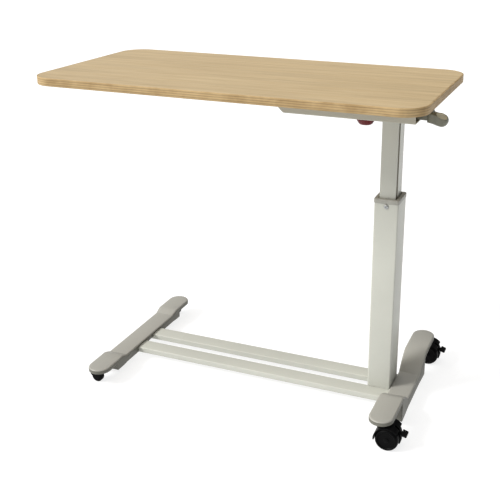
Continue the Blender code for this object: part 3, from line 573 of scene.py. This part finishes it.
def make_inner_tube():
    """The inner tube, with a groove down each side just behind its front edge."""
    low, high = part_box("inner_column")
    middle_x = (low[0] + high[0]) / 2
    corner, turn = INNER_TUBE_CORNER, GROOVE_CORNER

    def outline(inset):
        points = []
        for side in (1, -1):
            x, front, back = side * ((high[0] - low[0]) / 2 - inset), low[1] + inset, high[1] - inset
            start, end = low[1] + GROOVE_START - inset, low[1] + GROOVE_END + inset
            groove = x - side * GROOVE_DEPTH
            half = [(x - side * corner, front), (x - side * corner * 0.3, front + corner * 0.3)]
            half += [(x, front + corner), (x, start - turn), (x - side * turn, start)]
            half += [(groove + side * turn, start), (groove, start + turn)]
            half += [(groove, end - turn), (groove + side * turn, end)]
            half += [(x - side * turn, end), (x, end + turn), (x, back - corner)]
            half += [(x - side * corner * 0.3, back - corner * 0.3), (x - side * corner, back)]
            points += [(middle_x + u, v) for u, v in (half if side == 1 else half[::-1])]
        return points

    profile = [(0, low[2]), (0, high[2]), (TUBE_WALL, high[2]), (TUBE_WALL, low[2])]
    obj = make_object("inner_tube", tube_rings(outline, "z", profile), MATERIALS["light_grey_paint"], 25)
    obj.data.materials.append(GROOVE_PAINTED_SHADE)
    # Painted shade: the faces inside each groove take the dark copy of the paint
    for polygon in obj.data.polygons:
        across = abs(polygon.center.x - middle_x)
        behind = polygon.center.y - low[1]
        if GROOVE_START < behind < GROOVE_END and across < (high[0] - low[0]) / 2 - 0.0002:
            polygon.material_index = 1
    place(obj, "lift", "light_grey_paint", ["inner_column"])


# Base


def smooth_step(value):
    value = min(max(value, 0.0), 1.0)
    return value * value * (3 - 2 * value)


def foot_stations(press, half_length, radius):
    """Where the foot's plan outline has points along its length."""
    stations = {0.0, press["flat"]}
    for i in range(9):
        stations.add(press["flat"] + (press["rise_end"] - press["flat"]) * i / 8)
    stations |= {half_length - radius + radius * math.sin(math.radians(a)) for a in range(0, 90, 6)}
    stations |= {-station for station in stations}
    front, rear = press["skirt"]
    return sorted(stations | {front, front - 0.0006, rear, rear + 0.0006})


def make_foot(name, node, press):
    """A pressed channel with rounded shoulders, low between the rails and raised over the casters."""
    low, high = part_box(node)
    middle_x, middle_y = centre_of(low, high)
    radius = (high[0] - low[0]) / 2
    half_length = (high[1] - low[1]) / 2
    narrow = radius - FOOT_TAPER
    path = foot_stations(press, half_length, radius)
    skirt_front, skirt_rear = press["skirt"]

    def rise(station):
        """The share of the rise at a station: 0 on the flat middle, 1 on the pads."""
        value = min(max((abs(station) - press["flat"]) / (press["rise_end"] - press["flat"]), 0.0), 1.0)
        return value * (1.35 - 0.35 * value)

    def top(station):
        return FOOT_FLAT_TOP + (high[2] - FOOT_FLAT_TOP) * rise(station)

    def bottom(station):
        return low[2] if skirt_front <= station <= skirt_rear else top(station) - FOOT_RIM

    def ring(inset, height):
        """One ring round the plan, in from the edge by the inset; height(station) gives z."""
        right, left = [], []
        for station in path:
            half = narrow + (radius - narrow) * rise(station) - inset
            y = station
            past = abs(station) - (half_length - radius)
            if past > 0:
                angle = math.asin(min(past / radius, 1.0))
                y = math.copysign(half_length - radius + (radius - inset) * math.sin(angle), station)
                half = (radius - inset) * math.cos(angle)
            z = height(station)
            right.append((middle_x + half, middle_y + y, z))
            left.append((middle_x - half, middle_y + y, z))
        tip = half_length - inset
        start = (middle_x, middle_y - tip, height(-half_length))
        end = (middle_x, middle_y + tip, height(half_length))
        return [start, *right, end, *left[::-1]]

    def end_wall(station):
        """The wall that closes the channel across one end of its skirt."""
        half_width, half_sheet = radius - 0.75 * SHEET, 0.45 * SHEET
        near = (middle_x - half_width, middle_y + station - half_sheet, low[2] + 0.0003)
        far = (middle_x + half_width, middle_y + station + half_sheet, top(station) - SHEET / 2)
        return block(near, far)

    def shoulder_ring(bend, a):
        """One ring on the rounded shoulder; the bend is the radius of the sheet's inner or outer face."""
        inset, lift = FOOT_SHOULDER - bend * math.cos(a), bend * math.sin(a)
        return ring(inset, lambda station: top(station) - FOOT_SHOULDER + lift)

    angles = [math.radians(a) for a in (0, 22.5, 45, 67.5, 90)]
    rings = [shoulder_ring(FOOT_SHOULDER - SHEET, a) for a in angles[::-1]]
    rings += [ring(SHEET, bottom), ring(0.0, bottom)]
    rings += [shoulder_ring(FOOT_SHOULDER, a) for a in angles]
    bm = rings_mesh(rings, caps=False)
    bm.verts.ensure_lookup_table()
    size = len(rings[0])
    for offset in (0, size * (len(rings) - 1)):
        fill_across(bm, offset, size)
    obj = make_object(name, bm, MATERIALS["mid_grey_paint"], 24)
    ends = (skirt_front + END_WALL_INSET, skirt_rear - END_WALL_INSET)
    boolean(obj, [end_wall(station) for station in ends], "UNION")
    wall = middle_x + press["inner"] * narrow
    near, far = wall - 0.004, wall + 0.004
    rails = [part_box("front_rail"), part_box("rear_rail")]
    cuts = [block((near, rails[0][0][1] - 0.001, 0.003), (far, rails[1][1][1] + 0.001, 0.021))]
    gap = 0.0005
    for rail_low, rail_high in rails:
        cuts.append(block((near, rail_low[1] - gap, 0.017), (far, rail_high[1] + gap, rail_high[2] + gap)))
    boolean(obj, cuts)
    # Painted shade: every upright face of the foot takes the darker copy of its paint
    obj.data.materials.append(FOOT_SIDE_PAINTED_SHADE)
    for polygon in obj.data.polygons:
        if abs(polygon.normal.z) < 0.35:
            polygon.material_index = 1
    place(obj, "base", "mid_grey_paint", [node])


def fill_across(bm, offset, size):
    """Fills a symmetric ring, whose first and middle points are its tips, with strips across it."""
    ring = [bm.verts[offset + i] for i in range(size)]
    middle = size // 2
    bm.faces.new((ring[0], ring[1], ring[-1]))
    for i in range(1, middle - 1):
        bm.faces.new((ring[i], ring[i + 1], ring[-i - 1], ring[-i]))
    bm.faces.new((ring[middle - 1], ring[middle], ring[middle + 1]))


def make_rails():
    for name, node in (("rail_front", "front_rail"), ("rail_rear", "rear_rail")):
        low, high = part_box(node)
        centre = ((low[1] + high[1]) / 2, (low[2] + high[2]) / 2)
        width, height = high[1] - low[1], high[2] - low[2]

        def outline(inset, centre=centre, width=width, height=height):
            return rounded_rectangle(centre, width - 2 * inset, height - 2 * inset, RAIL_CORNER - inset)

        profile = [(0, low[0]), (0, high[0]), (RAIL_WALL, high[0]), (RAIL_WALL, low[0])]
        place(make_object(name, tube_rings(outline, "x", profile)), "base", "light_grey_paint", [node])


def weld_bead(name, start, end, radius):
    """A row of weld ripples between two points."""
    start, end = Vector(start), Vector(end)
    along = (end - start).normalized()
    side = along.cross(Vector((0, 0, 1))).normalized()
    rings = []
    steps = max(int((end - start).length / WELD_RIPPLE), 4)
    for i in range(steps + 1):
        t = i / steps
        taper = math.sin(math.pi * min(max(t, 0.02), 0.98)) ** 0.25
        size = radius * taper * (1 + 0.12 * math.sin(i * 1.9) + 0.05 * math.sin(i * 0.73))
        middle = start.lerp(end, t)
        section = circle((0, 0), 1.0, 10)
        rings.append([middle + side * (size * u) + Vector((0, 0, size * v * 0.8)) for u, v in section])
    place(make_object(name, rings_mesh(rings), angle=60), "base", "light_grey_paint")


def make_welds():
    """Beads across each rail, at both feet and at both sides of the column where it stands on the rail."""
    column_low, column_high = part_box("outer_column")
    left_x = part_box("left_foot")[1][0] - FOOT_TAPER + 0.0008
    right_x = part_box("right_foot")[0][0] + FOOT_TAPER - 0.0008
    for label, node in (("front", "front_rail"), ("rear", "rear_rail")):
        low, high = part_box(node)
        z = high[2] + 0.0002
        y0, y1 = low[1] + 0.003, high[1] - 0.003
        for end, x in (("left", left_x), ("right", right_x)):
            weld_bead(f"weld_{label}_{end}", (x, y0, z), (x, y1, z), WELD_RADIUS)
        y0, y1 = max(low[1], column_low[1]) + 0.001, min(high[1], column_high[1]) - 0.001
        if y1 - y0 > 0.006:
            for end, x in (("left", column_low[0] - 0.0004), ("right", column_high[0] + 0.0004)):
                weld_bead(f"weld_{label}_column_{end}", (x, y0, z), (x, y1, z), COLUMN_WELD_RADIUS)


# Controls


def make_lever():
    """The flat arm, from the valve pin over the pivot and out to the grip."""
    low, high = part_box("lever_arm")
    middle = (low[1] + high[1]) / 2
    half = (high[1] - low[1]) / 2
    outline = [(low[0], 0.6278), (low[0] + 0.012, 0.6278), (0.3265, 0.6230), (0.3385, 0.6150)]
    outline += [(0.3465, 0.6120), (high[0], low[2]), (high[0], 0.6180)]
    outline += [(0.3765, 0.6220), (0.3735, 0.6320), (0.3425, 0.6410)]
    outline += arc(LEVER_PIVOT, 0.009, 60, 120, 8)
    outline += [(low[0] + 0.010, 0.6370), (low[0], 0.6340)]
    arm = make_object("lever_blade", prism(outline, "y", middle - half, middle + half))
    soften(arm, 0.0012, 3)
    place(arm, "lever", "dark_grey_plastic", ["lever_arm"])
    make_grip(middle)


def grip_scoop(centre):
    """The egg-shaped hollow in the grip: it slopes down to the tip and is open towards the front."""
    bm = bmesh.new()
    bmesh.ops.create_uvsphere(bm, u_segments=48, v_segments=24, radius=1.0)
    bmesh.ops.scale(bm, verts=bm.verts, vec=SCOOP_RADII)
    bmesh.ops.rotate(bm, verts=bm.verts, matrix=Matrix.Rotation(math.radians(SCOOP_TILT), 3, "Y"))
    bmesh.ops.translate(bm, verts=bm.verts, vec=centre)
    # Painted light: the hollow's faces take the paler plastic
    for face in bm.faces:
        face.material_index = 1
    return bm


def make_grip(middle):
    """The finger grip, moulded over the arm: a thick paddle with a rounded end and a scoop on top."""
    low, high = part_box("lever_grip")
    tip, depth = high[0] + 0.0003, high[1] - low[1]
    # The side view, as (x from the tip, z); it shrinks towards the centre at both faces
    outline = [(-0.0400, 0.6300), (-0.0400, 0.6085), (-0.0290, 0.6062), (-0.0190, 0.6030)]
    outline += arc((-0.0115, 0.6130), 0.0112, -100, 60, 20)
    outline += [(-0.0125, 0.6262), (-0.0230, 0.6268), (-0.0310, 0.6292)]
    centre = (-0.0190, 0.6160)
    rings = []
    for i in range(41):
        along = -1 + i / 20
        size = 1 - 0.30 * abs(along) ** 4
        ring = [(centre[0] + (x - centre[0]) * size, centre[1] + (z - centre[1]) * size) for x, z in outline]
        rings.append([(tip + x, middle + along * depth / 2, z) for x, z in ring])
    grip = make_object("lever_handle", rings_mesh(rings), MATERIALS["dark_grey_plastic"], 50)
    grip.data.materials.append(SCOOP_PAINTED_LIGHT)
    boolean(grip, [grip_scoop((tip - 0.0120, middle - 0.0062, 0.6256))])
    soften(grip, 0.0006, 2, 40)
    place(grip, "lever", "dark_grey_plastic", ["lever_grip"])


def make_knob():
    """The lock knob, with shallow flutes round its rim."""
    low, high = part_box("lock_knob")
    x, y = centre_of(low, high)
    radius = (high[0] - low[0]) / 2
    sides = 144
    profile = [(0.0100, 0.0), (0.0120, 0.0006), (0.0140, 0.0024), (0.0165, 0.0062), (0.0180, 0.0088)]
    profile += [(radius, 0.0105), (radius, 0.0118), (radius - 0.0004, 0.0125), (radius - 0.0012, 0.0130)]
    rings = []
    for r, height in profile:
        ring = []
        depth = KNOB_FLUTE_DEPTH * smooth_step((height - 0.001) / 0.006)
        for i in range(sides):
            angle = 2 * math.pi * i / sides
            size = r - depth * (0.5 - 0.5 * math.cos(angle * KNOB_FLUTES)) ** 2
            ring.append((x + size * math.cos(angle), y + size * math.sin(angle), low[2] + height))
        rings.append(ring)
    obj = make_object("lock_knob_fluted", rings_mesh(rings), angle=40)
    place(obj, "knob", "red_plastic", ["lock_knob"])


# Casters


def make_twin_wheel(name, body, node, side):
    """A wheel with a tread, a raised side ring, a sunk disc and a hub cap; side is 1 for the wheel on +y."""
    low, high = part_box(node)
    x, z = (low[0] + high[0]) / 2, (low[2] + high[2]) / 2
    inner = low[1] if side > 0 else high[1]
    width = high[1] - low[1]
    outer_face = [(0, 0.0004), (0.0030, 0.0005), (0.0048, 0.0012), (0.0054, 0.0024), (0.0075, 0.0030)]
    outer_face += [(0.0142, 0.0026), (0.0168, 0.0022), (0.0176, 0.0008), (0.0186, 0.0), (0.0199, 0.0)]
    outer_face += [(0.0212, 0.0006), (0.0225, 0.0020), (0.0233, 0.0042), (TWIN_RADIUS, 0.0064)]
    profile = [(radius, width - depth) for radius, depth in outer_face]
    profile += [(TWIN_RADIUS, 0.0022), (0.0232, 0.0008), (0.0223, 0)]
    profile += [(0.0033, 0), (0.0033, width - 0.0050), (0, width - 0.0050)]
    bm = turned(profile, (x, inner, z), "y", 72, flip=side)
    place(make_object(name, bm, angle=28), body, "black_plastic", [node])


def make_twin_caster(end):
    """Hood, web, boss and brake pedal of one twin-wheel caster."""
    name = f"right_{end}"
    body = f"swivel_{name}"
    stem_low, stem_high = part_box(f"stem_{name}")
    x, y = centre_of(stem_low, stem_high)
    wheel_x = x + TWIN_TRAIL
    hub = (wheel_x, TWIN_RADIUS)
    web = arc(hub, WEB_RADIUS, -28, 195, 40) + arc(hub, WEB_SEAT, 195, 332, 14)
    bm = prism(web, "y", y - WEB_HALF, y + WEB_HALF)
    obj = make_object(f"caster_hood_{name}", bm, MATERIALS["black_plastic"])
    hood = arc(hub, HOOD_RADIUS, 40, 186, 48) + arc(hub, HOOD_RADIUS - HOOD_SHEET, 186, 40, 48)
    shapes = [prism(hood, "y", y - HOOD_HALF, y + HOOD_HALF)]
    boss = [(0, 0.0400), (0.0085, 0.0400), (0.0085, 0.0502), (0.0077, 0.0510), (0, 0.0510)]
    shapes.append(turned(boss, (x, y, 0), "z", 40))
    boolean(obj, shapes, "UNION")
    cuts = []
    for near, far in ((0.0047, 0.0300), (-0.0300, -0.0047)):
        cuts.append(prism(circle(hub, TWIN_RADIUS + 0.0008, 72), "y", y + near, y + far))
    cuts.append(prism(circle((x, y), 0.0038, 32), "z", 0.0430, 0.0560))
    cuts.append(block((wheel_x + 0.0115, y - 0.0026, 0.0290), (wheel_x + 0.0350, y + 0.0026, 0.0600)))
    boolean(obj, cuts)
    soften(obj, 0.0005, 2, 40)
    place(obj, body, "black_plastic", [f"housing_{name}"])
    make_pedal(name, (wheel_x + PEDAL_PIVOT[0], y, PEDAL_PIVOT[1]))
    for letter, side in (("a", -1), ("b", 1)):
        wheel = f"wheel_{name}_{letter}"
        make_twin_wheel(f"caster_{wheel}", wheel, wheel, side)


def make_pedal(name, pivot):
    """The brake pedal: an arm from its pin, and a sloping plate with three grooves across it."""
    x, y, z = pivot
    arm = arc((x, z), 0.0034, 75, 285, 20) + [(x + 0.0115, z - 0.0030), (x + 0.0115, z + 0.0030)]
    bm = prism(arm, "y", y - 0.0022, y + 0.0022)
    obj = make_object(f"brake_pedal_{name}", bm, MATERIALS["black_plastic"])
    plate = [(x + 0.0100, z + 0.0036), (x + 0.0100, z - 0.0016), (x + 0.0180, z - 0.0042)]
    plate += [(x + 0.0204, z - 0.0032), (x + 0.0200, z + 0.0004)]
    boolean(obj, [prism(plate, "y", y - 0.0090, y + 0.0090)], "UNION")
    rod = [(0, -0.0100), (0.0005, -0.0100), (0.0005, 0.0100), (0, 0.0100)]
    cuts = []
    for out in (0.0122, 0.0146, 0.0170):
        cuts.append(turned(rod, (x + out, y, z + 0.0040 - (out - 0.0100) * 0.32), "y", 12))
    cuts.append(prism(circle((x, z), 0.0014, 24), "y", y - 0.01, y + 0.01))
    boolean(obj, cuts)
    soften(obj, 0.0005, 2, 40)
    place(obj, f"pedal_{name}", "black_plastic", [f"pedal_{name}"])


def make_small_caster(end):
    """Fork and wheel of one small caster."""
    name = f"left_{end}"
    stem_low, stem_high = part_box(f"stem_{name}")
    x, y = centre_of(stem_low, stem_high)
    wheel_x = x - SMALL_TRAIL
    hub = (wheel_x, SMALL_RADIUS)
    outline = [(x + 0.0090, 0.0290), (x + 0.0090, 0.0230)]
    outline += arc(hub, 0.0050, -25, -155, 16)
    outline += [(x - 0.0205, 0.0190)] + arc((x - 0.0155, 0.0250), 0.0040, 165, 95, 8)
    bm = prism(outline, "y", y - FORK_HALF, y + FORK_HALF)
    fork = make_object(f"caster_fork_{name}", bm, MATERIALS["black_plastic"])
    cuts = [prism(circle(hub, SMALL_RADIUS + 0.001, 64), "y", y - FORK_GAP, y + FORK_GAP)]
    cuts.append(block((x - 0.040, y - FORK_GAP, 0.0), (x - 0.010, y + FORK_GAP, SMALL_RADIUS)))
    cuts.append(prism(circle((x, y), 0.0031, 32), "z", 0.0240, 0.0330))
    cuts.append(prism(circle(hub, 0.0023, 24), "y", y - 0.0084, y + 0.0084))
    boolean(fork, cuts)
    soften(fork, 0.0005, 2, 40)
    place(fork, f"swivel_{name}", "black_plastic", [f"fork_{name}"])
    half = 0.006
    face = [(0.0023, 0.0), (0.0046, 0.0), (0.0051, 0.0007), (0.0088, 0.0007), (0.0093, 0.0), (0.0110, 0.0)]
    face += [(0.0121, 0.0008), (SMALL_RADIUS, 0.0021)]
    profile = [(radius, depth - half) for radius, depth in face]
    profile += [(radius, half - depth) for radius, depth in face[::-1]]
    bm = turned(profile + profile[:1], (wheel_x, y, SMALL_RADIUS), "y", 64)
    bmesh.ops.remove_doubles(bm, verts=bm.verts, dist=0.00001)
    wheel = make_object(f"caster_wheel_{name}", bm, angle=28)
    place(wheel, f"wheel_{name}", "black_plastic", [f"wheel_{name}"])


# Surroundings


def glowing_grey(name, cloud_scale, detail, glow):
    """A matt grey that also glows white, for what stands round the object."""
    graph = Graph(name)
    cloud = graph.noise(cloud_scale, detail)
    graph.set(Base_Color=graph.ramp(cloud, FLOOR_GREYS), Roughness=0.9)
    graph.set(Emission_Color=(*WHITE, 1.0), Emission_Strength=glow)
    return graph


def make_floor():
    bm = bmesh.new()
    bmesh.ops.create_grid(bm, x_segments=1, y_segments=1, size=15.0)
    bmesh.ops.translate(bm, verts=bm.verts, vec=(0, 0, -0.0002))
    graph = glowing_grey("studio_floor", 3.0, 3.0, FLOOR_GLOW)
    graph.shader.inputs["Specular IOR Level"].default_value = 0.1
    make_object("studio_floor", bm, graph.material)


def make_backdrop():
    """A white wall far off all round. Only the camera sees it, so it leaves the light as it is."""
    rings = [[(x, y, z) for x, y in circle((0, 0), BACKDROP_RADIUS, 96)] for z in BACKDROP_HEIGHTS]
    graph = glowing_grey("studio_backdrop", 1.0, 2.0, BACKDROP_GLOW)
    wall = make_object("studio_backdrop", rings_mesh(rings, caps=False), graph.material)
    wall.visible_diffuse = wall.visible_glossy = wall.visible_transmission = wall.visible_shadow = False


def make_sky():
    """A soft light from all round, brightest overhead and a little to the left and the front."""
    world = bpy.data.worlds.new("studio")
    bpy.context.scene.world = world
    world.use_nodes = True
    nodes, links = world.node_tree.nodes, world.node_tree.links
    direction = nodes.new("ShaderNodeTexCoord").outputs["Generated"]
    lean = nodes.new("ShaderNodeVectorMath")
    lean.operation = "DOT_PRODUCT"
    lean.inputs[1].default_value = SKY_BRIGHT_WAY
    links.new(direction, lean.inputs[0])
    sky = nodes.new("ShaderNodeValToRGB")
    sky.color_ramp.elements[0].color = (*SKY_DIM, 1.0)
    sky.color_ramp.elements[1].color = (*WHITE, 1.0)
    links.new(lean.outputs["Value"], sky.inputs["Fac"])
    background = nodes["Background"]
    links.new(sky.outputs["Color"], background.inputs["Color"])
    background.inputs["Strength"].default_value = SKY_STRENGTH


def make_sun():
    """One wide sun, from the left and the front."""
    data = bpy.data.lights.new("key", "SUN")
    data.energy = SUN_ENERGY
    data.angle = math.radians(SUN_WIDTH)
    data.color = (1.0, 0.99, 0.97)
    key = bpy.data.objects.new("key", data)
    bpy.context.scene.collection.objects.link(key)
    key.rotation_euler = Vector(SUN_WAY).to_track_quat("-Z", "Y").to_euler()


def make_camera():
    """The camera of the photograph."""
    data = bpy.data.cameras.new("camera")
    data.sensor_width = 36.0
    data.lens = CAMERA_LENS
    data.shift_x, data.shift_y = CAMERA_SHIFT
    data.clip_start, data.clip_end = 0.05, 60.0
    camera = bpy.data.objects.new("camera", data)
    bpy.context.scene.collection.objects.link(camera)
    azimuth, elevation = math.radians(CAMERA_AZIMUTH), math.radians(CAMERA_ELEVATION)
    turn = Matrix.Rotation(azimuth, 4, "Z") @ Matrix.Rotation(math.pi / 2 - elevation, 4, "X")
    roll = Matrix.Rotation(math.radians(CAMERA_ROLL), 4, "Z")
    camera.matrix_world = Matrix.Translation(CAMERA_PLACE) @ turn @ roll
    bpy.context.scene.camera = camera


def main():
    make_camera()
    dress_frame()
    make_top()
    make_bracket()
    make_outer_tube()
    make_collar()
    make_collar_screw()
    make_inner_tube()
    make_rails()
    make_foot("foot_left", "left_foot", LEFT_PRESS)
    make_foot("foot_right", "right_foot", RIGHT_PRESS)
    make_welds()
    make_lever()
    make_knob()
    for end in ("front", "rear"):
        make_twin_caster(end)
        make_small_caster(end)
    make_floor()
    make_backdrop()
    make_sky()
    make_sun()
    bpy.context.scene.view_settings.view_transform = "Standard"


main()
